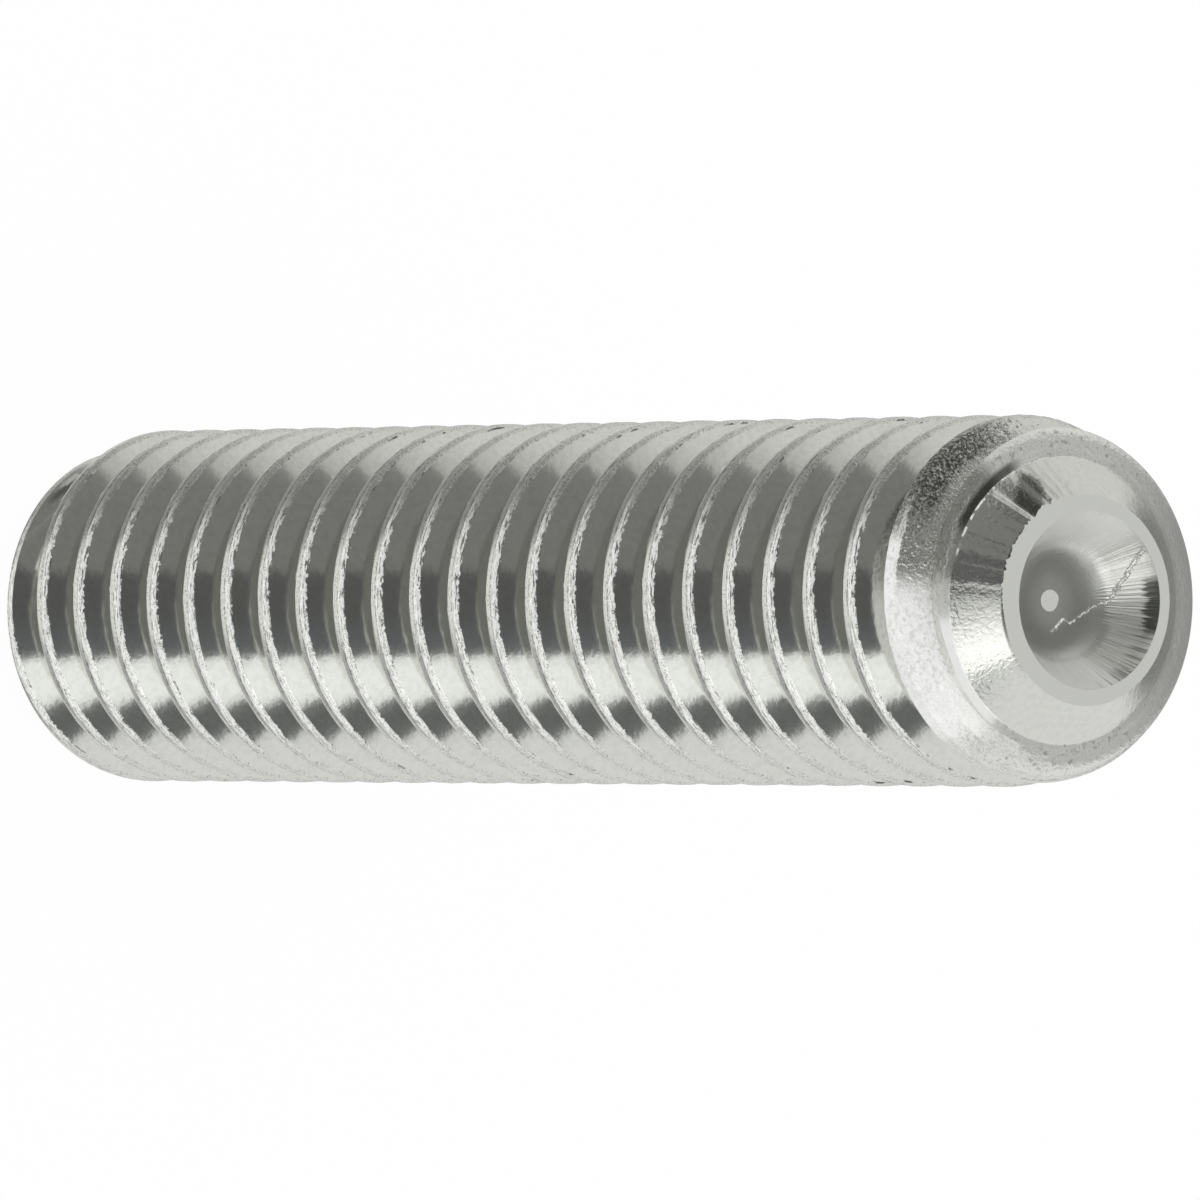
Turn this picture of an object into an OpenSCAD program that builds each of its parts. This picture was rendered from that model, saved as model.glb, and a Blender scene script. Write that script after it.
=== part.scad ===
// Socket grub screw with a cup point: one headless threaded stud, cut from
// one bar. It stands on its flat socket end, axis along +Z, cup point up.
// The origin is the middle of the socket end face.

/* [Thread] */
// Diameter over the thread crests
thread_d = 7.9; // [7.2:0.05:10]
// Distance from one crest to the next
pitch = 1.411; // [1:0.001:1.6]
// Angle between the two flanks of the groove
flank_angle = 60; // [52:1:66]
// Width of the crest with its rounded corners
crest_w = 0.36; // [0.22:0.01:0.5]
// Width of each rounded crest corner
corner_w = 0.09; // [0.03:0.01:0.1]
// Drop from the crest to the end of its rounded corner
corner_drop = 0.05; // [0.02:0.01:0.09]
// Width of the groove bottom
root_w = 0.28; // [0.12:0.01:0.34]
// Height of the first crest where the thread passes the +X side
first_crest = 1.06; // [0:0.01:1.4]
// Distance that the last crest runs ahead, where the rolling dies let go
end_run = 0.26; // [0:0.01:0.3]
// Drop of the last crest below the others, where the bar was left unfilled
end_sink = 0.33; // [0:0.01:0.35]

/* [Body] */
// Length from the socket end face to the rim of the cup
length = 34.925; // [16:0.005:60]
// Width of the bevel round the socket end, equal along and across
end_bevel = 0.8; // [0.5:0.01:1]

/* [Cup point] */
// Diameter of the cup rim
rim_d = 4.45; // [3.6:0.05:5.4]
// Slope of the point, measured from the axis
point_slope = 45; // [35:1:55]
// Diameter where the cone ends in a shoulder
cone_d = 6.06; // [5.6:0.02:6.6]
// Diameter of the outer corner of the shoulder
shoulder_d = 7.2; // [6.8:0.05:7.4]
// Width of the flat land on the rim
rim_land = 0.18; // [0.05:0.01:0.25]
// Angle across the steep wall of the cup
wall_angle = 76; // [64:1:100]
// Diameter of the shallow dish below the wall
dish_d = 2.6; // [1.8:0.1:2.8]
// Drop from the edge of the dish to its middle
dish_drop = 0.32; // [0.15:0.01:0.4]
// Diameter of the flat that the tip of the punch leaves in the dish
tip_d = 0.46; // [0.2:0.02:0.8]

/* [Socket] */
// Width of the hexagon across its flats
socket_af = 3.97; // [3:0.01:4.3]
// Depth of the full hexagon
socket_depth = 4.3; // [2:0.05:8]
// Diameter of the hole drilled before the hexagon was pressed in
drill_d = 3.9; // [2.6:0.05:3.95]
// Length of drilled wall left below the hexagon
drill_step = 0.5; // [0.2:0.05:2]
// Angle across the cone that the drill leaves
drill_angle = 120; // [100:1:140]
// Widening of the bevelled socket mouth past the hexagon corners
mouth_bevel = 0.12; // [0.05:0.01:0.2]

/* [Hidden] */
// Round surfaces apart from the thread
$fn = 96;
// Straight steps in one turn of the thread
turn_steps = 36;
// Overlap that lets a cut pass clear of the face it opens
clear = 0.3;
// Depth of the punch tip's flat below the bottom of the dish
tip_sink = 0.02;
// Drop of the shoulder from the edge of the cone to its outer corner
shoulder_drop = 0.04;
// Slope of the bar below the shoulder, measured from the axis
collar_slope = 28;
// Height below the rim at which the crest starts to run ahead
run_below = 1.8;
// Height over which the crest gains its whole run
run_over = 0.8;
// Height below the rim at which the crest starts to sink
sink_below = 2.25;
// Height over which the crest sinks by its whole drop
sink_over = 1.35;
crest_r = thread_d / 2;
flank_rise = (pitch - crest_w - root_w) / 2;
root_r = crest_r - corner_drop - flank_rise / tan(flank_angle / 2);
rim_r = rim_d / 2;
cup_mouth_r = rim_r - rim_land;
corner_r = socket_af / 2 / cos(30);

// One pitch of the thread, from groove up and over the crest to groove,
// as [radius, height] with the middle of the crest at height 0.
thread_form = [
    [root_r, -crest_w / 2 - flank_rise],
    [crest_r - corner_drop, -crest_w / 2],
    [crest_r, corner_w - crest_w / 2],
    [crest_r, crest_w / 2 - corner_w],
    [crest_r - corner_drop, crest_w / 2],
    [root_r, crest_w / 2 + flank_rise]
];
// The thread starts and stops outside the body, which then trims it.
turns_below = ceil(first_crest / pitch) + 1;
turns_above = ceil((length - first_crest) / pitch) + 1;
thread_steps = (turns_below + turns_above) * turn_steps;
thread_start = first_crest - turns_below * pitch;

// How far a crest at height z has run ahead of the even pitch
function run_ahead(z) =
    let (share = min(max((z - length + run_below) / run_over, 0), 1))
    end_run * share * share * (3 - 2 * share);

// Radius of the crest at height z, which falls faster and faster at the end
function crest_limit(z) =
    let (share = min(max((z - length + sink_below) / sink_over, 0), 1))
    crest_r - end_sink * share * share;

// Corner p of the thread form after s steps round the axis
function thread_point(s, p) =
    let (a = 360 * s / turn_steps, z = thread_start + pitch * s / turn_steps)
    let (r = min(thread_form[p].x, crest_limit(z)))
    [
        r * cos(a),
        r * sin(a),
        z + run_ahead(z) + thread_form[p].y
    ];

// The dish is a shallow bowl of radius bowl_r whose centre is on the axis.
dish_r = dish_d / 2;
tip_r = tip_d / 2;
dish_z = length - (cup_mouth_r - dish_r) / tan(wall_angle / 2);
bowl_r = (dish_r ^ 2 + dish_drop ^ 2) / (2 * dish_drop);
bowl_z = dish_z - dish_drop + bowl_r;

// A core with the thread wound round it, closed by a cone at each end
module threaded_core() {
    corners = len(thread_form);
    last = corners - 1;
    stop = thread_steps;
    low = corners * (stop + 1);
    high = low + 1;
    points = concat(
        [for (s = [0:stop], p = [0:last]) thread_point(s, p)],
        [[0, 0, thread_start], [0, 0, thread_start + pitch * stop / turn_steps]]
    );
    crest_faces = [
        for (s = [0:stop - 1], p = [0:last - 1])
            let (v = s * corners + p)
            [v, v + 1, v + 1 + corners, v + corners]
    ];
    root_faces = [
        for (s = [0:stop - turn_steps - 1])
            let (v = s * corners + last, w = (s + turn_steps) * corners)
            [v, w, w + corners, v + corners]
    ];
    low_edge = concat(
        [for (s = [0:turn_steps]) s * corners],
        [for (p = [last:-1:1]) p]
    );
    high_edge = concat(
        [for (p = [0:last]) stop * corners + p],
        [for (s = [1:turn_steps]) (stop - s) * corners + last]
    );
    low_faces = [
        for (i = [0:len(low_edge) - 1])
            [low, low_edge[i], low_edge[(i + 1) % len(low_edge)]]
    ];
    high_faces = [
        for (i = [0:len(high_edge) - 1])
            [high, high_edge[i], high_edge[(i + 1) % len(high_edge)]]
    ];
    polyhedron(points, concat(crest_faces, root_faces, low_faces, high_faces));
}

// The turned blank: bevelled socket end, plain bar, and a cone on a shoulder
module blank() {
    bar_r = crest_r + clear;
    bevel_top = bar_r - crest_r + end_bevel;
    cone_r = cone_d / 2;
    shoulder_r = shoulder_d / 2;
    cone_base = length - (cone_r - rim_r) / tan(point_slope);
    corner_z = cone_base - shoulder_drop;
    collar_base = corner_z - (bar_r - shoulder_r) / tan(collar_slope);
    rotate_extrude() polygon([
        [0, 0],
        [crest_r - end_bevel, 0],
        [bar_r, bevel_top],
        [bar_r, collar_base],
        [shoulder_r, corner_z],
        [cone_r, cone_base],
        [rim_r, length],
        [0, length]
    ]);
}

// The hollow of the cup: a steep wall round a shallow dish, with the flat
// of the punch tip sunk in the middle
module cup() {
    lift = clear / tan(wall_angle / 2);
    dish_steps = 5;
    tip_a = asin(tip_r / bowl_r);
    edge_a = asin(dish_r / bowl_r);
    tip_z = dish_z - dish_drop - tip_sink;
    rotate_extrude() polygon(concat(
        [[0, tip_z], [tip_r, tip_z]],
        [for (i = [0:dish_steps])
            let (a = tip_a + (edge_a - tip_a) * i / dish_steps)
            [bowl_r * sin(a), bowl_z - bowl_r * cos(a)]
        ],
        [[cup_mouth_r + clear, length + lift], [0, length + lift]]
    ));
}

// The hexagon socket: bevelled mouth, six flats, then the drilled end
module hex_socket() {
    mouth_r = corner_r + mouth_bevel;
    drill_r = drill_d / 2;
    drill_end = socket_depth + drill_step;
    translate([0, 0, -clear])
        cylinder(h = socket_depth + clear, r = corner_r, $fn = 6);
    rotate_extrude() polygon([
        [0, -clear],
        [mouth_r + clear, -clear],
        [drill_r, mouth_r - drill_r],
        [drill_r, drill_end],
        [0, drill_end + drill_r / tan(drill_angle / 2)]
    ]);
}

module grub_screw() {
    color([0.78, 0.78, 0.75])
        difference() {
            intersection() {
                threaded_core();
                blank();
            }
            cup();
            hex_socket();
        }
}

grub_screw();
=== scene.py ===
# %% [markdown]
# # A socket grub screw with a cup point
# A grub screw is a headless threaded stud. A hexagon key turns it from one
# end, and the cupped point at the other end bites into a shaft. It is cut
# from one steel bar, so it is one piece here too. This lesson follows the
# order of the workshop: roll the thread, turn the ends, press the cup and the
# socket, and only then look at the finish of each surface.

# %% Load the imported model
import bpy
import math
from mathutils import Matrix, Vector, noise


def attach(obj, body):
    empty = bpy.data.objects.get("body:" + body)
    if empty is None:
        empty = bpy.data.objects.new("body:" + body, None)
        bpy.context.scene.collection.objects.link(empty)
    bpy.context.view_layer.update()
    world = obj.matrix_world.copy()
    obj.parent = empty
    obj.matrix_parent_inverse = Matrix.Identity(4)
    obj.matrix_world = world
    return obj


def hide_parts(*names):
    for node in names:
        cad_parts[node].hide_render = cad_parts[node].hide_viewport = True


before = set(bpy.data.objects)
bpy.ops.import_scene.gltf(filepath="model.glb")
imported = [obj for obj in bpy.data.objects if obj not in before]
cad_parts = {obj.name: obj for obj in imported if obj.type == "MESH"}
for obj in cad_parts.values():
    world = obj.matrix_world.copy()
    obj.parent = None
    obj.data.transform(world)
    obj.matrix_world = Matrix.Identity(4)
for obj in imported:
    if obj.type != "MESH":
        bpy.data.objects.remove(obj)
bpy.context.view_layer.update()

# %% [markdown]
# ## The sizes of the screw
# The screw stands on its socket end with its axis along +Z. Every size is in
# millimetres, because a thread is easier to think about that way, and `MM`
# turns it into Blender's metres when a mesh is made.

# %% Sizes
MM = 0.001
LENGTH = 34.925
PITCH = 1.411
CREST_R = 3.95
ROOT_R = 3.232
FIRST_CREST = 1.06
RUN_AHEAD = 0.26
RIM_R = 2.225
CONE_R = 3.03
SHOULDER_R = 3.62
CONE_FOOT = LENGTH - (CONE_R - RIM_R)
SHOULDER_FOOT = CONE_FOOT - 0.04
FACE_R = 3.15
STEPS_PER_TURN = 240
print("turns on the bar:", round(LENGTH / PITCH, 2))

# %% [markdown]
# ## The camera
# The photograph is taken with a long lens from above the point, with the axis
# of the screw across the picture. The camera stands where the thread's own
# curves say it stood, and is turned on its side.

# %% Camera
VIEW_ELEVATION = math.radians(53.29)
VIEW_TILT = math.radians(0.357)
VIEW_DISTANCE = 409.1 * MM
VIEW_AIM = Vector((-0.072, 0, 17.77)) * MM
LENS = 562.9


def camera_axes(elevation, tilt):
    """Right, up and back of the camera, in the screw's own frame."""
    axis = Vector((
        math.cos(elevation) * math.cos(tilt),
        math.cos(elevation) * math.sin(tilt),
        math.sin(elevation),
    ))
    back = Vector((0, 0, 1))
    near_side = (back - axis * axis.dot(back)).normalized()
    low_side = axis.cross(near_side)
    columns = []
    for i in range(3):
        columns.append(Vector((low_side[i], -near_side[i], axis[i])))
    return columns


right, up, back = camera_axes(VIEW_ELEVATION, VIEW_TILT)
camera = bpy.data.objects.new("camera", bpy.data.cameras.new("camera"))
bpy.context.scene.collection.objects.link(camera)
place = Matrix((right, up, back)).transposed().to_4x4()
place.translation = VIEW_AIM + back * VIEW_DISTANCE
camera.matrix_world = place
camera.data.lens = LENS
camera.data.sensor_width = 36
camera.data.clip_start = 0.01
camera.data.clip_end = 20
bpy.context.scene.camera = camera
print("camera looks down by", round(math.degrees(math.asin(back.z)), 2), "degrees")

# %% [markdown]
# ## The rolled thread
# A thread like this is rolled, not cut: hard dies press the grooves in, and
# the steel that they push aside wells up from both sides until it meets at
# the crest. So the flanks are as smooth as the dies, while the crest keeps a
# ragged seam where its two lips almost closed. A screw modifier could sweep
# one profile, but it gives the same crest everywhere. Here the profile is
# wound by hand, so that each point of the crest can wander a little.

# %% The thread form
# One pitch as (distance along the axis from the middle of the crest, radius).
THREAD_FORM = (
    (-0.180, 3.900), (-0.150, 3.928), (-0.100, 3.944), (-0.045, 3.948),
    (0.010, 3.946), (0.055, 3.948), (0.100, 3.946), (0.145, 3.930),
    (0.180, 3.900),
    (0.205, 3.8567), (0.385, 3.5449), (0.5655, 3.2323),
    (0.8455, 3.2323), (1.206, 3.8567),
)
SEAM = 4
FLANK_TOP = 9
ROWS = len(THREAD_FORM)
TURNS_BELOW = 2
TURNS_ABOVE = 25.5


def smooth(low, high, value):
    """0 below low, 1 above high, and an even curve between them."""
    share = min(max((value - low) / (high - low), 0), 1)
    return share * share * (3 - 2 * share)


def crest_height(turn):
    """Height of the crest, which runs ahead where the dies let go of it."""
    height = FIRST_CREST + PITCH * turn
    return height + RUN_AHEAD * smooth(LENGTH - 1.8, LENGTH - 1.0, height)


def crest_limit(turn):
    """The last crest sinks faster and faster to the bare bar."""
    height = FIRST_CREST + PITCH * turn
    share = min(max((height - LENGTH + 2.25) / 1.35, 0), 1)
    return CREST_R - (CREST_R - SHOULDER_R) * share * share


def ripple(along, across, grain, seed):
    """Smooth noise from about -1 to 1 along the crest, grain in mm."""
    spot = Vector((along / grain, across, seed * 7.31))
    return noise.noise(spot) * 1.6


def torn(turn):
    """How torn the steel is: the last crest left the dies half formed."""
    return smooth(22.40, 22.55, turn)


print("rows in one pitch:", ROWS)

# %% Wind the thread
def thread_corner(turn, row):
    """One corner of the wound profile, as (radius, height)."""
    offset, radius = THREAD_FORM[row]
    crest = crest_height(turn)
    along = turn * 2 * math.pi * CREST_R
    if row < FLANK_TOP:
        radius -= 0.006 * abs(ripple(along, row * 1.7, 0.35, 1))
        offset += 0.007 * ripple(along, row * 2.3, 0.22, 2)
    if SEAM < row < FLANK_TOP:
        radius -= 0.010 * abs(ripple(along, row * 0.9, 0.24, 11))
        offset += 0.012 * ripple(along, row * 0.8, 0.19, 12)
    if row == SEAM:
        open_seam = smooth(-0.25, 0.5, ripple(along, 0, 2.2, 3))
        radius -= 0.014 * open_seam * (0.6 + 0.4 * ripple(along, 0, 0.3, 4))
        offset += 0.020 * ripple(along, 0, 1.4, 5)
    if row <= FLANK_TOP + 2:
        rough = torn(turn)
        radius -= rough * 0.020 * (0.5 + 0.5 * ripple(along, row * 3.1, 0.16, 8))
        offset += rough * 0.012 * ripple(along, row * 3.7, 0.17, 9)
    first_fill = FACE_R + max(crest, 0)
    radius = min(radius, first_fill - 0.4 * max(0.14 - abs(offset), 0) ** 2)
    return min(radius, crest_limit(turn)), crest + offset


def wind_thread():
    """A closed rod with the thread wound round it, longer than the screw."""
    steps = int((TURNS_BELOW + TURNS_ABOVE) * STEPS_PER_TURN)
    points = []
    for step in range(steps + 1):
        turn = step / STEPS_PER_TURN - TURNS_BELOW
        angle = 2 * math.pi * turn
        for row in range(ROWS):
            radius, height = thread_corner(turn, row)
            points.append((radius * math.cos(angle), radius * math.sin(angle), height))
    faces = []
    last = ROWS - 1
    for step in range(steps):
        for row in range(last):
            corner = step * ROWS + row
            faces.append((corner, corner + ROWS, corner + ROWS + 1, corner + 1))
    for step in range(steps - STEPS_PER_TURN):
        corner = step * ROWS + last
        above = (step + STEPS_PER_TURN) * ROWS
        faces.append((corner, corner + ROWS, above + ROWS, above))
    low_loop = [s * ROWS for s in range(STEPS_PER_TURN + 1)]
    low_loop += list(range(last, 0, -1))
    high_loop = [steps * ROWS + row for row in range(ROWS)]
    high_loop += [(steps - s) * ROWS + last for s in range(1, STEPS_PER_TURN + 1)]
    points.append((0, 0, crest_height(-TURNS_BELOW)))
    points.append((0, 0, crest_height(TURNS_ABOVE)))
    for centre, loop in ((len(points) - 2, low_loop), (len(points) - 1, high_loop)):
        for here, there in zip(loop, loop[1:] + loop[:1]):
            faces.append((centre, there, here))
    return points, faces


def steel_mesh(name, points, faces):
    """A mesh object in metres, from points in millimetres."""
    mesh = bpy.data.meshes.new(name)
    mesh.from_pydata([Vector(p) * MM for p in points], [], faces)
    mesh.validate()
    piece = bpy.data.objects.new(name, mesh)
    bpy.context.scene.collection.objects.link(piece)
    return piece


screw = steel_mesh("grub_screw_body", *wind_thread())
print("wound rod:", len(screw.data.vertices), "points")

# %% [markdown]
# ## Turning the ends
# On a lathe a tool takes away whatever stands outside its path. A lathe form
# in Blender does the same: a closed profile is spun round the axis, and a
# Boolean keeps only the steel inside it. The point gets a 45 degree cone that
# ends in a shoulder, where the bar never reached the rolling dies, and the
# socket end gets a short bevel.

# %% Spin a profile
def spun(name, profile, sides=STEPS_PER_TURN):
    """A closed solid of revolution from (radius, height) corners on the axis."""
    points = []
    rings = []
    for radius, height in profile:
        if radius < 1e-9:
            rings.append([len(points)] * sides)
            points.append((0, 0, height))
            continue
        rings.append(list(range(len(points), len(points) + sides)))
        for side in range(sides):
            angle = 2 * math.pi * (side + 0.5) / sides
            points.append((radius * math.cos(angle), radius * math.sin(angle), height))
    faces = []
    for lower, upper in zip(rings, rings[1:]):
        for side in range(sides):
            far = (side + 1) % sides
            corners = (lower[side], lower[far], upper[far], upper[side])
            faces.append(tuple(dict.fromkeys(corners)))
    return steel_mesh(name, points, faces)


def machine(piece, tool, action):
    """Cuts or trims the piece with the tool's form, then takes the tool away."""
    step = piece.modifiers.new(action.lower(), "BOOLEAN")
    step.operation = action
    step.solver = "EXACT"
    step.object = tool
    graph = bpy.context.evaluated_depsgraph_get()
    cut = bpy.data.meshes.new_from_object(piece.evaluated_get(graph))
    piece.modifiers.clear()
    old = piece.data
    piece.data = cut
    bpy.data.meshes.remove(old)
    bpy.data.objects.remove(tool)


print("a lathe form has", STEPS_PER_TURN, "sides")

# %% Turn the blank
BLANK_R = CREST_R + 0.3
blank_profile = (
    (0, 0),
    (FACE_R - 0.02, 0),
    (FACE_R, 0.015),
    (BLANK_R, BLANK_R - FACE_R + 0.015),
    (BLANK_R, SHOULDER_FOOT - 1.1),
    (SHOULDER_R + 0.08, SHOULDER_FOOT - 0.28),
    (SHOULDER_R + 0.03, SHOULDER_FOOT - 0.16),
    (SHOULDER_R - 0.05, SHOULDER_FOOT - 0.08),
    (SHOULDER_R - 0.20, SHOULDER_FOOT - 0.02),
    (SHOULDER_R - 0.42, SHOULDER_FOOT + 0.015),
    (CONE_R + 0.03, CONE_FOOT - 0.02),
    (CONE_R, CONE_FOOT),
    (RIM_R, LENGTH),
    (0, LENGTH),
)
machine(screw, spun("lathe_blank", blank_profile), "INTERSECT")
print("turned blank:", len(screw.data.polygons), "faces")

# %% [markdown]
# ## The cup
# The point is struck with a punch, which leaves a narrow land round the rim,
# a steep wall, and a shallow dish with the small flat of the punch's tip in
# the middle. The punch came down a little off the axis, so the land is wider
# on one side. Its radial streaks are the steel dragged along by the punch.

# %% Press the cup
CUP_PROFILE = (
    (0, -1.275), (0.23, -1.275), (0.245, -1.262), (0.50, -1.235),
    (0.75, -1.185), (1.00, -1.110), (1.18, -1.030), (1.30, -0.945),
    (1.40, -0.800), (1.54, -0.580), (1.70, -0.320), (1.80, -0.150),
    (1.88, -0.020), (1.89, 0.004), (2.3, 0.2), (0, 0.2),
)
CUP_SHIFT = 0.08


def off_centre(radius):
    """How far the lip of the cup lies off the axis, fading to nothing."""
    return CUP_SHIFT * smooth(1.0, 1.8, radius) * (1 - smooth(1.97, 2.12, radius))


cup_profile = [(radius, LENGTH + depth) for radius, depth in CUP_PROFILE]
machine(screw, spun("cup_punch", cup_profile), "DIFFERENCE")
for corner in screw.data.vertices:
    x, y, z = (v / MM for v in corner.co)
    if z > LENGTH - 1.3 and math.hypot(x, y) < 2.15:
        corner.co.y += off_centre(math.hypot(x, y)) * MM
print("cup depth in mm:", -CUP_PROFILE[0][1])

# %% [markdown]
# ## The socket
# The hexagon socket starts as a drilled hole. A hexagonal punch is pressed in
# after it, and a short bevel at the mouth lets the key find its way. The
# photograph hides this end, so it follows the standard for this thread.

# %% Press the socket
SOCKET_AF = 3.97
SOCKET_DEPTH = 4.3
DRILL_R = 1.95
DRILL_END = 4.8
DRILL_TIP = DRILL_R / math.tan(math.radians(60))
MOUTH_R = SOCKET_AF / 2 / math.cos(math.radians(30)) + 0.12

hexagon = spun("hexagon_punch", (
    (0, -0.3),
    (SOCKET_AF / 2 / math.cos(math.radians(30)), -0.3),
    (SOCKET_AF / 2 / math.cos(math.radians(30)), SOCKET_DEPTH),
    (0, SOCKET_DEPTH),
), sides=6)
machine(screw, hexagon, "DIFFERENCE")
drill = spun("socket_drill", (
    (0, -0.3),
    (MOUTH_R + 0.3, -0.3),
    (DRILL_R, MOUTH_R - DRILL_R),
    (DRILL_R, DRILL_END),
    (0, DRILL_END + DRILL_TIP),
))
machine(screw, drill, "DIFFERENCE")
print("socket depth in mm:", SOCKET_DEPTH)

# %% Smooth shading with crisp edges
mesh = screw.data
for face in mesh.polygons:
    face.use_smooth = True
mesh.set_sharp_from_angle(angle=math.radians(32))
flank_top = THREAD_FORM[FLANK_TOP][1]
for edge in mesh.edges:
    ends = [mesh.vertices[v].co for v in edge.vertices]
    if all(abs(Vector((e.x, e.y)).length / MM - flank_top) < 0.0015 for e in ends):
        edge.use_edge_sharp = True
even = screw.modifiers.new("even_flanks", "WEIGHTED_NORMAL")
even.keep_sharp = True
print("finished screw:", len(mesh.polygons), "faces")

# %% [markdown]
# ## A burr on the rim
# The punch that struck the cup pushed a ragged lip outward over one side of
# the rim. The corners of the rim are moved out a little, each by its own
# small amount, and most where the lip is torn.

# %% Raise the burr
BURR_MIDDLE = math.radians(-132)
BURR_REACH = 0.12


def burr(angle):
    """How far the rim is pushed out at an angle round the axis, in mm."""
    away = abs((angle - BURR_MIDDLE + math.pi) % (2 * math.pi) - math.pi)
    torn_side = 1 - smooth(0.5, 1.0, away)
    jag = abs(ripple(angle * RIM_R, 0, 0.11, 6))
    return 0.012 * jag + BURR_REACH * torn_side * jag


moved = 0
for corner in mesh.vertices:
    x, y, z = (v / MM for v in corner.co)
    if abs(z - LENGTH) < 0.001 and abs(math.hypot(x, y) - RIM_R) < 0.004:
        out = 1 + burr(math.atan2(y, x)) / RIM_R
        corner.co.x *= out
        corner.co.y *= out
        moved += 1
print("rim corners moved:", moved)

# %% [markdown]
# ## Where each surface lies
# The finish differs from place to place, and every tool left its own. So each
# face is told which surface it belongs to, and every corner of a face keeps
# two numbers: how many turns along the thread it lies, and how far above the
# middle of its crest. The materials can then follow the thread.

# %% Name the surfaces
SURFACES = ("rolled", "collar", "coned", "struck", "land", "pressed", "sawn")


def turn_at(point):
    """Turns along the thread at the crest nearest to a point in mm."""
    share = math.atan2(point.y, point.x) / (2 * math.pi)
    near = share + round((point.z - crest_height(share)) / PITCH)
    return min((near - 1, near, near + 1), key=lambda t: abs(crest_height(t) - point.z))


def surface_of(point, normal):
    """Which surface a face belongs to, from its middle in mm."""
    radius = math.hypot(point.x, point.y)
    if point.z > LENGTH - 0.03 and radius > 1.75 and normal.z > 0.9:
        return "land"
    if point.z > LENGTH - 1.5 and radius < RIM_R - 0.02 and point.z < LENGTH:
        return "land" if radius < 0.23 and normal.z > 0.99 else "struck"
    if point.z > CONE_FOOT and abs(normal.z - 0.707) < 0.1:
        return "coned"
    if point.z > SHOULDER_FOOT - 0.3 and radius > CONE_R - 0.02 and normal.z > 0.2:
        return "collar"
    if point.z < DRILL_END + DRILL_TIP and radius < MOUTH_R:
        return "pressed"
    if point.z < 0.02:
        return "sawn"
    return "rolled"


turns = mesh.attributes.new("turn", "FLOAT", "CORNER").data
heights = mesh.attributes.new("across", "FLOAT", "CORNER").data
counts = dict.fromkeys(SURFACES, 0)
for face in mesh.polygons:
    middle = face.center / MM
    turn_here = turn_at(middle)
    surface = surface_of(middle, face.normal)
    counts[surface] += 1
    face.material_index = SURFACES.index(surface)
    share_here = math.atan2(middle.y, middle.x) / (2 * math.pi)
    for loop in face.loop_indices:
        point = mesh.vertices[mesh.loops[loop].vertex_index].co / MM
        step = math.atan2(point.y, point.x) / (2 * math.pi) - share_here
        turn_there = turn_here + step - round(step)
        turns[loop].value = turn_there
        heights[loop].value = point.z - crest_height(turn_there)
triangles = sum(len(face.vertices) - 2 for face in mesh.polygons)
print("faces of each surface:", counts, "triangles:", triangles)

# %% [markdown]
# ## Shared effects
# Each effect below is a node group with named sockets, so that every surface
# can use it with its own values. All of them start from the object's own
# coordinates, turned into millimetres and into the distance from the axis,
# because every tool that touched this screw moved round that axis.

# %% Helpers for node trees
def node(tree, kind, inputs=None, **settings):
    """A new node with its settings, its input values and its links."""
    made = tree.nodes.new(kind)
    for name, value in settings.items():
        setattr(made, name, value)
    for name, value in (inputs or {}).items():
        socket = made.inputs[name]
        if isinstance(value, bpy.types.NodeSocket):
            tree.links.new(value, socket)
        else:
            socket.default_value = value
    return made


def calc(tree, operation, *values):
    """The result of a Math node."""
    inputs = dict(enumerate(values))
    return node(tree, "ShaderNodeMath", inputs, operation=operation).outputs[0]


def vector_calc(tree, operation, *values, out="Vector"):
    """The result of a Vector Math node."""
    made = node(tree, "ShaderNodeVectorMath", dict(enumerate(values)), operation=operation)
    return made.outputs[out]


def fade(tree, value, low, high, to_low=0.0, to_high=1.0):
    """A smooth change from to_low to to_high as value goes from low to high."""
    inputs = {"Value": value, "From Min": low, "From Max": high}
    inputs.update({"To Min": to_low, "To Max": to_high})
    made = node(tree, "ShaderNodeMapRange", inputs, interpolation_type="SMOOTHSTEP")
    return made.outputs["Result"]


def blend(tree, share, first, second):
    """A colour between first and second."""
    made = node(tree, "ShaderNodeMix", data_type="RGBA")
    for socket, value in ((0, share), (6, first), (7, second)):
        if isinstance(value, bpy.types.NodeSocket):
            tree.links.new(value, made.inputs[socket])
        else:
            made.inputs[socket].default_value = value
    return made.outputs[2]


def effect(name, inputs, outputs):
    """An empty node group with named sockets: its tree, inputs and outputs."""
    tree = bpy.data.node_groups.new(name, "ShaderNodeTree")
    for title, kind, value in inputs:
        socket = tree.interface.new_socket(title, in_out="INPUT", socket_type=kind)
        if value is not None:
            socket.default_value = value
    for title, kind in outputs:
        tree.interface.new_socket(title, in_out="OUTPUT", socket_type=kind)
    entry = tree.nodes.new("NodeGroupInput")
    leave = tree.nodes.new("NodeGroupOutput")
    return tree, entry.outputs, leave.inputs


def use(tree, group, inputs):
    """The outputs of a group placed in a tree with its own values."""
    return node(tree, "ShaderNodeGroup", inputs, node_tree=group).outputs


VALUE = "NodeSocketFloat"
PLACE = "NodeSocketVector"
print("helpers ready")

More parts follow.
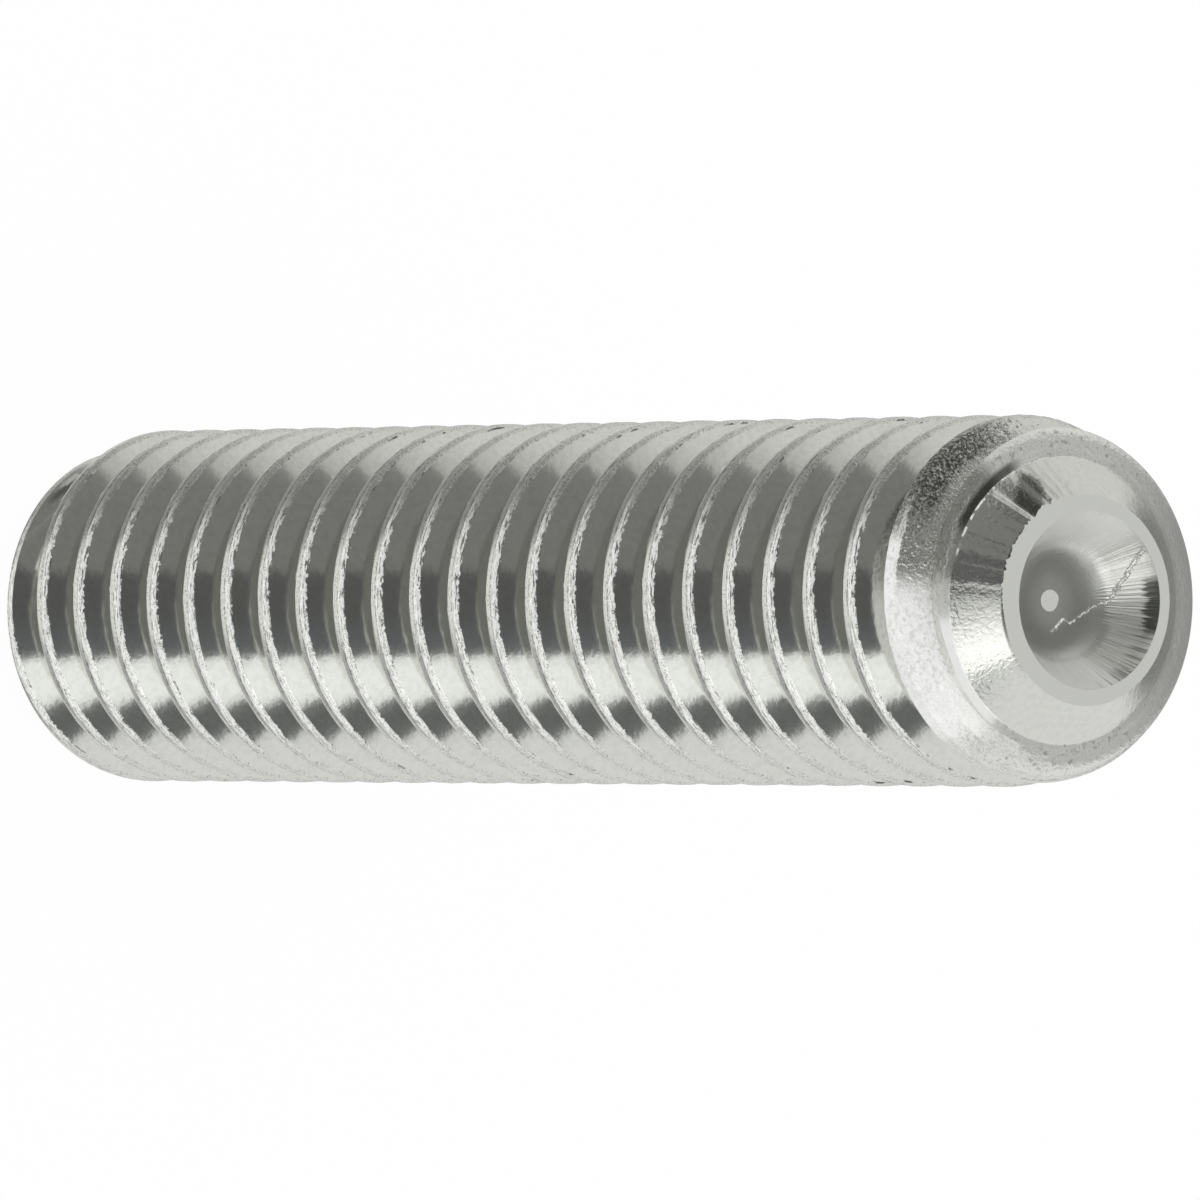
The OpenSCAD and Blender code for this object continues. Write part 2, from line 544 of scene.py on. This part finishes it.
# %% Streaks that run along the thread
thread_streaks, enter, leave = effect(
    "thread_streaks",
    [("Turn", VALUE, 0.0), ("Across", VALUE, 0.0), ("Width", VALUE, 0.05), ("Length", VALUE, 1.2)],
    [("Height", VALUE)],
)
inside = thread_streaks
along = calc(inside, "MULTIPLY", enter["Turn"], 2 * math.pi * CREST_R)
spot = node(inside, "ShaderNodeCombineXYZ", {
    "X": calc(inside, "DIVIDE", along, enter["Length"]),
    "Y": calc(inside, "DIVIDE", enter["Across"], enter["Width"]),
})
streak = node(
    inside, "ShaderNodeTexNoise",
    {"Vector": spot.outputs[0], "Scale": 1.0, "Detail": 2.0, "Roughness": 0.55},
)
inside.links.new(streak.outputs["Fac"], leave["Height"])

# %% Streaks that run out from the axis, and rings round it
axis_streaks, enter, leave = effect(
    "axis_streaks",
    [("Place", PLACE, None), ("Width round", VALUE, 0.06), ("Width out", VALUE, 0.8)],
    [("Height", VALUE)],
)
inside = axis_streaks
in_mm = vector_calc(inside, "MULTIPLY", enter["Place"], (1000, 1000, 1000))
flat = vector_calc(inside, "MULTIPLY", in_mm, (1, 1, 0))
radius = vector_calc(inside, "LENGTH", flat, out="Value")
ring = vector_calc(inside, "SCALE", vector_calc(inside, "NORMALIZE", flat))
inside.links.new(calc(inside, "DIVIDE", 1.6, enter["Width round"]), ring.node.inputs["Scale"])
outward = calc(inside, "DIVIDE", radius, enter["Width out"])
depth = calc(inside, "DIVIDE", node(inside, "ShaderNodeSeparateXYZ", {0: in_mm}).outputs["Z"], enter["Width out"])
lift = node(inside, "ShaderNodeCombineXYZ", {"Z": calc(inside, "SUBTRACT", outward, depth)}).outputs[0]
streak = node(
    inside, "ShaderNodeTexNoise",
    {"Vector": vector_calc(inside, "ADD", ring, lift), "Scale": 1.0, "Detail": 2.0, "Roughness": 0.6},
)
inside.links.new(streak.outputs["Fac"], leave["Height"])

# %% Fine grain
steel_grain, enter, leave = effect(
    "steel_grain",
    [("Place", PLACE, None), ("Size", VALUE, 0.06), ("Detail", VALUE, 2.0)],
    [("Height", VALUE)],
)
inside = steel_grain
in_mm = vector_calc(inside, "MULTIPLY", enter["Place"], (1000, 1000, 1000))
grain = node(
    inside, "ShaderNodeTexNoise",
    {"Vector": in_mm, "Scale": calc(inside, "DIVIDE", 1.0, enter["Size"]),
     "Detail": enter["Detail"], "Roughness": 0.6},
)
inside.links.new(grain.outputs["Fac"], leave["Height"])

# %% A share of the way round the axis
round_sector, enter, leave = effect(
    "round_sector",
    [("Place", PLACE, None), ("Toward", PLACE, None), ("Half", VALUE, 30.0), ("Soft", VALUE, 8.0)],
    [("Share", VALUE), ("Radius", VALUE)],
)
inside = round_sector
flat = vector_calc(inside, "MULTIPLY", enter["Place"], (1000, 1000, 0))
facing_there = vector_calc(
    inside, "DOT_PRODUCT", vector_calc(inside, "NORMALIZE", flat), enter["Toward"], out="Value"
)
away = calc(inside, "MULTIPLY", calc(inside, "ARCCOSINE", facing_there), math.degrees(1))
outer_edge = calc(inside, "ADD", enter["Half"], enter["Soft"])
inside.links.new(fade(inside, away, outer_edge, enter["Half"]), leave["Share"])
inside.links.new(vector_calc(inside, "LENGTH", flat, out="Value"), leave["Radius"])


def facing(degrees):
    """The way out from the axis, in degrees from -Y toward +X."""
    return (math.sin(math.radians(degrees)), -math.cos(math.radians(degrees)), 0)


# %% A torn line between two places
torn_line, enter, leave = effect(
    "torn_line",
    [("Place", PLACE, None), ("From", PLACE, None), ("To", PLACE, None), ("Width", VALUE, 0.04)],
    [("Mark", VALUE)],
)
inside = torn_line
in_mm = vector_calc(inside, "MULTIPLY", enter["Place"], (1000, 1000, 0))
reach = vector_calc(inside, "SUBTRACT", in_mm, enter["From"])
whole = vector_calc(inside, "SUBTRACT", enter["To"], enter["From"])
part = calc(
    inside, "DIVIDE",
    vector_calc(inside, "DOT_PRODUCT", reach, whole, out="Value"),
    vector_calc(inside, "DOT_PRODUCT", whole, whole, out="Value"),
)
part.node.use_clamp = True
nearest = vector_calc(inside, "SCALE", whole)
inside.links.new(part, nearest.node.inputs["Scale"])
gap = vector_calc(inside, "DISTANCE", reach, nearest, out="Value")
jag = use(inside, steel_grain, {"Place": enter["Place"], "Size": 0.07})["Height"]
gap = calc(inside, "ADD", gap, calc(inside, "MULTIPLY", calc(inside, "SUBTRACT", jag, 0.5), 0.16))
inside.links.new(fade(inside, gap, enter["Width"], 0.0), leave["Mark"])
print("node groups:", [g.name for g in bpy.data.node_groups])

# %% [markdown]
# ## Bare steel
# Every surface is the same bright steel: a metal whose roughness and relief
# say which tool touched it. Its colour is fixed, except for marks and for
# light and shade painted in at fixed places round the axis. Depths are in
# millimetres.

# %% A bare steel and its relief
STEEL = (0.80, 0.80, 0.775)
# A paler steel for painted highlights, and for the torn flap in the cup.
HIGHLIGHT_AND_FLAP_STEEL = (0.98, 0.98, 0.96)
# A dark steel for painted shade, and for seams, pits and dark marks.
DARK_MARK_AND_SHADE_STEEL = (0.16, 0.16, 0.15)


def steel(name, roughness):
    """A bare steel material: its tree, its shader and the surface's place."""
    material = bpy.data.materials.new(name)
    material.use_nodes = True
    tree = material.node_tree
    shader = tree.nodes["Principled BSDF"]
    shader.inputs["Base Color"].default_value = (*STEEL, 1)
    shader.inputs["Metallic"].default_value = 1
    shader.inputs["Roughness"].default_value = roughness
    place = node(tree, "ShaderNodeTexCoord").outputs["Object"]
    return material, tree, shader, place


def raise_surface(tree, shader, *reliefs):
    """Adds heights, each with its depth in millimetres, to the normal."""
    normal = None
    for height, depth in reliefs:
        inputs = {"Height": height, "Distance": depth * MM, "Strength": 1.0}
        if normal is not None:
            inputs["Normal"] = normal
        normal = node(tree, "ShaderNodeBump", inputs).outputs[0]
    tree.links.new(normal, shader.inputs["Normal"])


def centred(tree, height, *shares):
    """A height that swings round zero, kept only where every share is high."""
    value = calc(tree, "SUBTRACT", height, 0.5)
    for share in shares:
        value = calc(tree, "MULTIPLY", value, share)
    return value


print("steel reflects", STEEL)

# %% [markdown]
# ## Steel of the rolled thread
# The flanks are polished by the dies and carry only faint lines along the
# thread. The crest was never touched: it is rough, with a seam where the two
# lips met and a ragged edge. On the last turn the dies let go, and the torn
# grain spreads over the whole flank.
# On the near side the crests and the last flank are painted paler, as a painted highlight.

# %% Where the rolled steel is rough
rolled, tree, shader, place = steel("rolled_thread_steel", 0.1)
turn = node(tree, "ShaderNodeAttribute", attribute_name="turn").outputs["Fac"]
across = node(tree, "ShaderNodeAttribute", attribute_name="across").outputs["Fac"]
grain = use(tree, steel_grain, {"Place": place, "Size": 0.045})["Height"]
coarse = use(tree, steel_grain, {"Place": place, "Size": 0.11})["Height"]
lines = use(tree, thread_streaks, {"Turn": turn, "Across": across, "Width": 0.07, "Length": 0.25})
lips = use(tree, thread_streaks, {"Turn": turn, "Across": across, "Width": 0.035, "Length": 0.28})

wander = calc(tree, "MULTIPLY", calc(tree, "SUBTRACT", coarse, 0.5), 0.09)
edge = calc(tree, "ADD", calc(tree, "ABSOLUTE", across), wander)
on_crest = fade(tree, edge, 0.205, 0.185)
begin = calc(tree, "ADD", turn, wander)
on_last = calc(
    tree, "MULTIPLY", fade(tree, begin, 22.49, 22.56), fade(tree, edge, 0.62, 0.54)
)
on_last = calc(tree, "MULTIPLY", on_last, fade(tree, across, -0.52, -0.40))
rough = calc(tree, "MAXIMUM", calc(tree, "MULTIPLY", on_crest, 0.5), on_last)
tree.links.new(fade(tree, rough, 0.0, 1.0, 0.115, 0.29), shader.inputs["Roughness"])
print("rough where the dies did not reach")

# %% Seam, painted lip glint, pits and a darker stretch
path = calc(tree, "MULTIPLY", calc(tree, "SUBTRACT", lips["Height"], 0.5), 0.14)
from_seam = calc(tree, "SUBTRACT", across, calc(tree, "ADD", path, 0.03))
seam = calc(
    tree, "MULTIPLY",
    fade(tree, calc(tree, "ABSOLUTE", from_seam), 0.026, 0.008), fade(tree, coarse, 0.42, 0.56),
)
dashes = fade(tree, lips["Height"], 0.40, 0.50)
ridge = calc(tree, "MULTIPLY", on_crest, fade(tree, from_seam, 0.01, 0.04))
# Painted glint: the ragged lip of the crest is made paler and less of a mirror, on the near side only.
near_crest = use(tree, round_sector, {
    "Place": place, "Toward": facing(12), "Half": 26.0, "Soft": 34.0,
})["Share"]
lip_glint = calc(tree, "MULTIPLY", calc(tree, "MULTIPLY", ridge, dashes), near_crest)
pits = calc(tree, "MULTIPLY", fade(tree, grain, 0.54, 0.64), 0.5)
# A darker stretch of the torn grain, over part of the last turn.
dark_stretch = calc(
    tree, "MULTIPLY", fade(tree, begin, 22.50, 22.58), fade(tree, begin, 22.70, 22.64)
)
medium = use(tree, steel_grain, {"Place": place, "Size": 0.065})["Height"]
dark_stretch = calc(tree, "MULTIPLY", calc(tree, "MULTIPLY", dark_stretch, on_last), fade(tree, medium, 0.66, 0.44))
dark_stretch = calc(tree, "MULTIPLY", dark_stretch, fade(tree, edge, 0.50, 0.36))
blotch = use(tree, steel_grain, {"Place": place, "Size": 0.15, "Detail": 4.0})["Height"]
late = fade(tree, begin, 22.82, 22.90)
print("seam, lip, pits and soot")

# %% Colour and relief of the rolled steel
# Painted highlight: on the near side the last flank and the crests are made paler and less of a mirror. The
# mottle below breaks up only this painted highlight.
near_light = use(tree, round_sector, {
    "Place": place, "Toward": facing(22), "Half": 20.0, "Soft": 18.0,
})["Share"]
crest_light = use(tree, round_sector, {
    "Place": place, "Toward": facing(8), "Half": 24.0, "Soft": 10.0,
})["Share"]
painted_highlight = calc(
    tree, "MAXIMUM",
    calc(tree, "MULTIPLY", near_light, on_last), calc(tree, "MULTIPLY", crest_light, on_crest),
)
painted_highlight = calc(tree, "MULTIPLY", painted_highlight, fade(tree, begin, 22.60, 22.65))
quiet = calc(tree, "MAXIMUM", painted_highlight, calc(tree, "MULTIPLY", late, 0.6))
dark = calc(tree, "MAXIMUM", calc(tree, "MULTIPLY", seam, 0.85), pits)
dark = calc(tree, "MULTIPLY", dark, calc(tree, "MAXIMUM", calc(tree, "MULTIPLY", on_crest, 0.8), on_last))
dark = calc(tree, "MULTIPLY", dark, calc(tree, "SUBTRACT", 1.0, calc(tree, "MULTIPLY", quiet, 0.75)))
mottle = calc(tree, "MULTIPLY", fade(tree, coarse, 0.44, 0.66), calc(tree, "SUBTRACT", 1.0, late))
mottle = calc(tree, "MULTIPLY", calc(tree, "MULTIPLY", mottle, painted_highlight), 0.26)
dark = calc(tree, "MAXIMUM", calc(tree, "MAXIMUM", dark, mottle), dark_stretch)
dark = calc(tree, "MAXIMUM", dark, calc(tree, "MULTIPLY", fade(tree, blotch, 0.40, 0.66), 0.08))
bright = calc(tree, "MAXIMUM", lip_glint, painted_highlight)
clean = blend(tree, bright, (*STEEL, 1), (*HIGHLIGHT_AND_FLAP_STEEL, 1))
tree.links.new(blend(tree, dark, clean, (*DARK_MARK_AND_SHADE_STEEL, 1)), shader.inputs["Base Color"])
matt = calc(tree, "MAXIMUM", calc(tree, "MULTIPLY", lip_glint, 0.85), painted_highlight)
matt = calc(tree, "MAXIMUM", matt, calc(tree, "MULTIPLY", calc(tree, "MULTIPLY", late, on_last), 0.55))
tree.links.new(fade(tree, matt, 0.0, 1.0, 1.0, 0.12), shader.inputs["Metallic"])
calm = calc(tree, "SUBTRACT", 1.0, calc(tree, "MULTIPLY", painted_highlight, 0.35))
ragged = calc(tree, "MULTIPLY", calc(tree, "MAXIMUM", ridge, on_last), calm)
raise_surface(
    tree, shader,
    (lines["Height"], 0.0017),
    (centred(tree, lips["Height"], ragged), 0.009),
    (centred(tree, grain, ragged), 0.015),
    (centred(tree, coarse, on_last, calm), 0.060),
)
print("rolled steel:", len(tree.nodes), "nodes")

# %% [markdown]
# ## Steel of the point
# The cone was cut on the bar before the thread was rolled and has been
# knocked since, so it has short scratches and a soft grain. The shoulder at
# its foot is as rough as the last crest: pale and speckled, so it scatters
# light and is only partly a mirror. Its lit side, shaded side and far side
# are painted light and shade. The struck cup shows the radial streaks of the
# punch, and its land and the flat in the middle are pressed smooth. A thin
# shadow under the rim, a bright line at the cone's foot and the shade inside
# the cup's lip are painted too.

# %% Shoulder
collar, tree, shader, place = steel("collar_steel", 0.30)
# Painted light and shade round the shoulder: the lit side is paler and less of a mirror, the shaded side more of
# a mirror, the far side darker, and a dark arc is painted as shade where the shoulder meets the cone.
shaded, lit, far_shade, corner = (
    use(tree, round_sector, {
        "Place": place, "Toward": facing(middle), "Half": half, "Soft": soft,
    })
    for middle, half, soft in ((-32, 16, 12), (30, 18, 16), (180, 20, 55), (-48, 14, 10))
)
grain = use(tree, steel_grain, {"Place": place, "Size": 0.05})["Height"]
coarse = use(tree, steel_grain, {"Place": place, "Size": 0.14})["Height"]
foot_shade = calc(tree, "MULTIPLY", corner["Share"], fade(tree, corner["Radius"], 3.30, 3.16))
pits = calc(tree, "MULTIPLY", fade(tree, grain, 0.56, 0.68), 0.28)
smudge = calc(tree, "MULTIPLY", fade(tree, coarse, 0.58, 0.70), 0.45)
specks = calc(tree, "MULTIPLY", calc(tree, "MAXIMUM", pits, smudge), calc(tree, "SUBTRACT", 1.0, lit["Share"]))
dark = calc(tree, "MAXIMUM", specks, foot_shade)
dark = calc(tree, "MAXIMUM", dark, calc(tree, "MULTIPLY", far_shade["Share"], 0.42))
clean = blend(tree, lit["Share"], (*STEEL, 1), (*HIGHLIGHT_AND_FLAP_STEEL, 1))
tree.links.new(blend(tree, dark, clean, (*DARK_MARK_AND_SHADE_STEEL, 1)), shader.inputs["Base Color"])
matt = calc(tree, "MULTIPLY", calc(tree, "SUBTRACT", 1.0, shaded["Share"]), 0.55)
matt = calc(tree, "MAXIMUM", matt, lit["Share"])
tree.links.new(fade(tree, matt, 0.0, 1.0, 1.0, 0.2), shader.inputs["Metallic"])
raise_surface(tree, shader, (grain, 0.008), (coarse, 0.030))
print("shoulder:", len(tree.nodes), "nodes")

# %% Cone
coned, tree, shader, place = steel("coned_steel", 0.17)
scratches = use(tree, axis_streaks, {"Place": place, "Width round": 0.05, "Width out": 0.14})
grain = use(tree, steel_grain, {"Place": place, "Size": 0.10})["Height"]
under_rim, foot_side = (
    use(tree, round_sector, {
        "Place": place, "Toward": facing(middle), "Half": half, "Soft": soft,
    })
    for middle, half, soft in ((-4, 14, 40), (-42, 18, 10))
)
# Painted shadow: a thin dark line on the cone just under the rim, on the near side.
rim_shadow = calc(tree, "MULTIPLY", under_rim["Share"], fade(tree, under_rim["Radius"], 2.29, 2.25))
blotch = use(tree, steel_grain, {"Place": place, "Size": 0.15, "Detail": 4.0})["Height"]
# Painted highlight: a bright line, less of a mirror, at the cone's foot on one side.
edge = calc(tree, "MULTIPLY", foot_side["Share"], fade(tree, foot_side["Radius"], 2.98, 3.01))
edge = calc(tree, "MULTIPLY", edge, fade(tree, blotch, 0.40, 0.58))
dark = calc(tree, "MAXIMUM", rim_shadow, calc(tree, "MULTIPLY", fade(tree, blotch, 0.42, 0.68), 0.07))
# The dark smudge on the cone, as places in mm seen from above the point.
smudge = use(tree, torn_line, {
    "Place": place, "From": (-2.45, -1.12, 0), "To": (-1.95, -1.42, 0), "Width": 0.40,
})["Mark"]
dark = calc(tree, "MAXIMUM", dark, fade(tree, smudge, 0.15, 0.65, 0.0, 0.85))
clean = blend(tree, edge, (*STEEL, 1), (*HIGHLIGHT_AND_FLAP_STEEL, 1))
tree.links.new(blend(tree, dark, clean, (*DARK_MARK_AND_SHADE_STEEL, 1)), shader.inputs["Base Color"])
tree.links.new(fade(tree, edge, 0.0, 1.0, 1.0, 0.25), shader.inputs["Metallic"])
raise_surface(tree, shader, (scratches["Height"], 0.0012), (grain, 0.010))
print("cone:", len(tree.nodes), "nodes")

# %% The struck cup
struck, tree, shader, place = steel("struck_steel", 0.27)
drag = use(tree, axis_streaks, {"Place": place, "Width round": 0.05, "Width out": 0.9})["Height"]
grain = use(tree, steel_grain, {"Place": place, "Size": 0.05})["Height"]
far_lip = use(tree, round_sector, {
    "Place": place, "Toward": facing(176), "Half": 14.0, "Soft": 8.0,
})
low_lip = use(tree, round_sector, {
    "Place": place, "Toward": facing(135), "Half": 24.0, "Soft": 14.0,
})
radius = far_lip["Radius"]
jagged = calc(tree, "ADD", radius, calc(tree, "MULTIPLY", calc(tree, "SUBTRACT", drag, 0.5), 0.30))
wall = fade(tree, radius, 1.08, 1.44)
across_cup = use(tree, round_sector, {
    "Place": place, "Toward": facing(172), "Half": 36.0, "Soft": 30.0,
})["Share"]
# Painted shade: a dark band inside the far lip of the cup, and dark streaks near the lip on the low side that
# follow the punch's drag.
under_lip_shade = calc(tree, "MULTIPLY", far_lip["Share"], fade(tree, jagged, 1.76, 1.84))
shade_streaks = calc(tree, "MULTIPLY", low_lip["Share"], fade(tree, jagged, 1.70, 1.86))
shade_streaks = calc(tree, "MULTIPLY", shade_streaks, fade(tree, drag, 0.48, 0.58))
# The torn flap of the cup, as places in mm seen from above the point.
FLAP = (
    (0.68, -0.03), (0.39, 0.33), (0.49, 0.48), (0.16, 1.00),
    (0.01, 1.34), (-0.50, 1.52), (-1.40, 1.62),
)
flap = None
for start, stop in zip(FLAP, FLAP[1:]):
    mark = use(tree, torn_line, {
        "Place": place, "From": (*start, 0), "To": (*stop, 0), "Width": 0.034,
    })["Mark"]
    flap = mark if flap is None else calc(tree, "MAXIMUM", flap, mark)
dark = calc(tree, "MAXIMUM", under_lip_shade, calc(tree, "MULTIPLY", shade_streaks, 0.6))
colour = blend(tree, dark, (*STEEL, 1), (*DARK_MARK_AND_SHADE_STEEL, 1))
tree.links.new(blend(tree, flap, colour, (*HIGHLIGHT_AND_FLAP_STEEL, 1)), shader.inputs["Base Color"])
tree.links.new(fade(tree, wall, 0.0, 1.0, 0.33, 0.28), shader.inputs["Roughness"])
matt = calc(tree, "MULTIPLY", wall, calc(tree, "SUBTRACT", 1.0, across_cup))
matt = calc(tree, "MAXIMUM", flap, calc(tree, "MULTIPLY", matt, 0.72))
tree.links.new(fade(tree, matt, 0.0, 1.0, 1.0, 0.15), shader.inputs["Metallic"])
raise_surface(
    tree, shader,
    (centred(tree, drag, wall), 0.016), (drag, 0.0035), (grain, 0.003), (flap, 0.030),
)

land, tree, shader, place = steel("land_steel", 0.16)
grain = use(tree, steel_grain, {"Place": place, "Size": 0.07})
raise_surface(tree, shader, (grain["Height"], 0.0015))
print("cup ready")

# %% [markdown]
# ## Steel of the socket end
# The hexagon was pressed in along the axis, so its walls have lines that run
# up them. The end face was sawn or cut off and then turned: fine rings.

# %% Socket and end face
pressed, tree, shader, place = steel("pressed_steel", 0.22)
pressing = use(tree, axis_streaks, {"Place": place, "Width round": 0.03, "Width out": 3.0})
grain = use(tree, steel_grain, {"Place": place, "Size": 0.08})
raise_surface(tree, shader, (pressing["Height"], 0.004), (grain["Height"], 0.003))

sawn, tree, shader, place = steel("turned_face_steel", 0.24)
rings = use(tree, axis_streaks, {"Place": place, "Width round": 1.6, "Width out": 0.035})
raise_surface(tree, shader, (rings["Height"], 0.004))

for material in (rolled, collar, coned, struck, land, pressed, sawn):
    mesh.materials.append(material)
print("materials:", [m.name for m in mesh.materials])

# %% [markdown]
# ## The studio
# Bright steel has no colour of its own: it shows what stands round it. So
# the light matters as much as the metal. The room is a pale one with a few
# soft panels and grey boards, drawn in the world shader as patches of sky by
# bearing and height, and seen only in the gloss of the steel. The camera and
# the floor see plain white light.

# %% Bearing and height in the room
sky = bpy.data.worlds.new("studio")
bpy.context.scene.world = sky
sky.use_nodes = True
tree = sky.node_tree
tree.nodes.clear()
look = node(tree, "ShaderNodeTexCoord").outputs["Generated"]
parts = node(tree, "ShaderNodeSeparateXYZ", {0: look}).outputs
forward = calc(tree, "MULTIPLY", parts["Y"], -1.0)
bearing = calc(tree, "MULTIPLY", calc(tree, "ARCTAN2", parts["X"], forward), math.degrees(1))
height = calc(tree, "MULTIPLY", calc(tree, "ARCSINE", parts["Z"]), math.degrees(1))


def board(left, right, low, high, soft=0.8, soft_end=3.0):
    """1 inside a patch of the room, given in degrees. Bearing 0 is at -Y."""
    share = calc(
        tree, "MULTIPLY",
        fade(tree, bearing, left - soft, left + soft),
        fade(tree, bearing, right + soft, right - soft),
    )
    upright = calc(
        tree, "MULTIPLY",
        fade(tree, height, low - soft_end, low + soft_end),
        fade(tree, height, high + soft_end, high - soft_end),
    )
    return calc(tree, "MULTIPLY", share, upright)


def lamp(azimuth, elevation, radius, soft):
    """1 inside a round patch of the room, whose radius is in degrees."""
    a, e = math.radians(azimuth), math.radians(elevation)
    middle = (math.sin(a) * math.cos(e), -math.cos(a) * math.cos(e), math.sin(e))
    near = vector_calc(tree, "DOT_PRODUCT", look, middle, out="Value")
    inner = math.cos(math.radians(max(radius - soft, 0)))
    outer = math.cos(math.radians(radius + soft))
    return fade(tree, near, outer, inner)


print("the room is drawn by bearing and height")

# %% Walls, boards and panels
LEFT_WALL = (0.71, 0.71, 0.69, 1)
LEFT_CORNER = (0.47, 0.47, 0.45, 1)
RIGHT_WALL = (0.78, 0.79, 0.77, 1)
TOP_BOARD = (0.66, 0.67, 0.65, 1)
GREY_BOARD = (0.200, 0.204, 0.192, 1)
DARK_BOARD = (0.098, 0.101, 0.099, 1)
WHITE_PANEL = (1.0, 1.02, 0.99, 1)
SLATE_BOARD = (0.128, 0.136, 0.131, 1)
DIM_FLOOR = (0.30, 0.30, 0.29, 1)
BRIGHT_FLOOR = (0.86, 0.86, 0.83, 1)
MID_FLOOR = (0.48, 0.48, 0.47, 1)
BLACK_CLOTH = (0.09, 0.09, 0.088, 1)
GREY_CLOTH = (0.13, 0.13, 0.127, 1)
BLUE_BOARD = (0.112, 0.121, 0.121, 1)
DIM_PANEL = (0.50, 0.51, 0.49, 1)
BRIGHT_PANEL = (1.35, 1.36, 1.33, 1)

room = blend(tree, fade(tree, bearing, -122, -98), LEFT_WALL, LEFT_CORNER)
room = blend(tree, fade(tree, bearing, -10, 10), room, RIGHT_WALL)
# High boards, which the flanks show.
HIGH, MIDDLE, LOW, BOTTOM = 90, 40, 8, -14
for left, right, colour in (
    (-101.5, -40.5, GREY_BOARD), (-40.5, 28.3, DARK_BOARD), (28.3, 62.8, WHITE_PANEL),
    (62.8, 85, SLATE_BOARD),
):
    room = blend(tree, board(left, right, MIDDLE, HIGH + 9, soft_end=2), room, colour)
blue = calc(tree, "MULTIPLY", board(-40.5, 28.3, MIDDLE, HIGH + 9, soft_end=2), fade(tree, bearing, -8, 14))
room = blend(tree, blue, room, BLUE_BOARD)
# Boards at eye height, which the cone shows.
eye_panel = blend(tree, fade(tree, bearing, -6, 42), DIM_PANEL, BRIGHT_PANEL)
for left, right, top, colour in (
    (-80, -36, MIDDLE, GREY_BOARD), (-36, -7, MIDDLE, DARK_BOARD),
    (-7, 57, 51, eye_panel), (57, 61, MIDDLE, SLATE_BOARD),
):
    room = blend(tree, board(left, right, LOW, top, soft_end=2), room, colour)
# Low boards, which a flank shows by way of the next one.
for left, right, colour in (
    (-82, 28, GREY_BOARD), (28, 57, WHITE_PANEL), (57, 77, SLATE_BOARD),
):
    room = blend(tree, board(left, right, BOTTOM, LOW), room, colour)
# The table in front, which the crests show.
room = blend(tree, board(-103, -30, -99, BOTTOM, soft=12), room, DIM_FLOOR)
room = blend(tree, board(-40, 24, -99, BOTTOM, soft=10), room, BRIGHT_FLOOR)
room = blend(tree, board(24, 88, -99, BOTTOM, soft=8), room, MID_FLOOR)
# Behind the screw, which the cup shows: a black cloth with a small lamp.
room = blend(tree, lamp(180, 53, 41, 3), room, GREY_CLOTH)
room = blend(tree, lamp(180, 18, 29, 4), room, GREY_CLOTH)
room = blend(tree, lamp(180, 53, 11, 2), room, TOP_BOARD)
room = blend(tree, lamp(180, -30, 22, 6), room, GREY_BOARD)
room = blend(tree, lamp(-82, 22, 7, 5), room, BLACK_CLOTH)

glossy_ray = node(tree, "ShaderNodeLightPath").outputs["Is Glossy Ray"]
plain = (1, 1, 1, 1)
background = node(tree, "ShaderNodeBackground", {"Color": blend(tree, glossy_ray, plain, room)})
output = node(tree, "ShaderNodeOutputWorld", {"Surface": background.outputs[0]})
print("sky nodes:", len(tree.nodes))

# %% [markdown]
# ## The floor
# The screw stands on a pale table. A camera ray sees it almost white, and
# the soft shadow round the foot of the screw stays.

# %% Floor
floor_mesh = bpy.data.meshes.new("floor")
FLOOR_HALF = 1.5
corners = [(x * FLOOR_HALF, y * FLOOR_HALF, 0) for x, y in ((-1, -1), (1, -1), (1, 1), (-1, 1))]
floor_mesh.from_pydata(corners, [], [(0, 1, 2, 3)])
floor = bpy.data.objects.new("floor", floor_mesh)
bpy.context.scene.collection.objects.link(floor)
floor.visible_glossy = False
table = bpy.data.materials.new("pale_table")
table.use_nodes = True
tree = table.node_tree
shader = tree.nodes["Principled BSDF"]
shader.inputs["Base Color"].default_value = (0.9, 0.9, 0.9, 1)
shader.inputs["Roughness"].default_value = 0.9
shader.inputs["Specular IOR Level"].default_value = 0
white = node(tree, "ShaderNodeEmission", {"Color": (1, 1, 1, 1), "Strength": 1.0})
camera_ray = node(tree, "ShaderNodeLightPath").outputs["Is Camera Ray"]
lift = calc(tree, "MULTIPLY", camera_ray, 0.97)
mixed = node(tree, "ShaderNodeMixShader", {0: lift, 1: shader.outputs[0], 2: white.outputs[0]})
tree.links.new(mixed.outputs[0], tree.nodes["Material Output"].inputs["Surface"])
floor_mesh.materials.append(table)

bpy.context.scene.view_settings.view_transform = "Standard"

# %% Hand over
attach(screw, "root")
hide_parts("grub_screw")
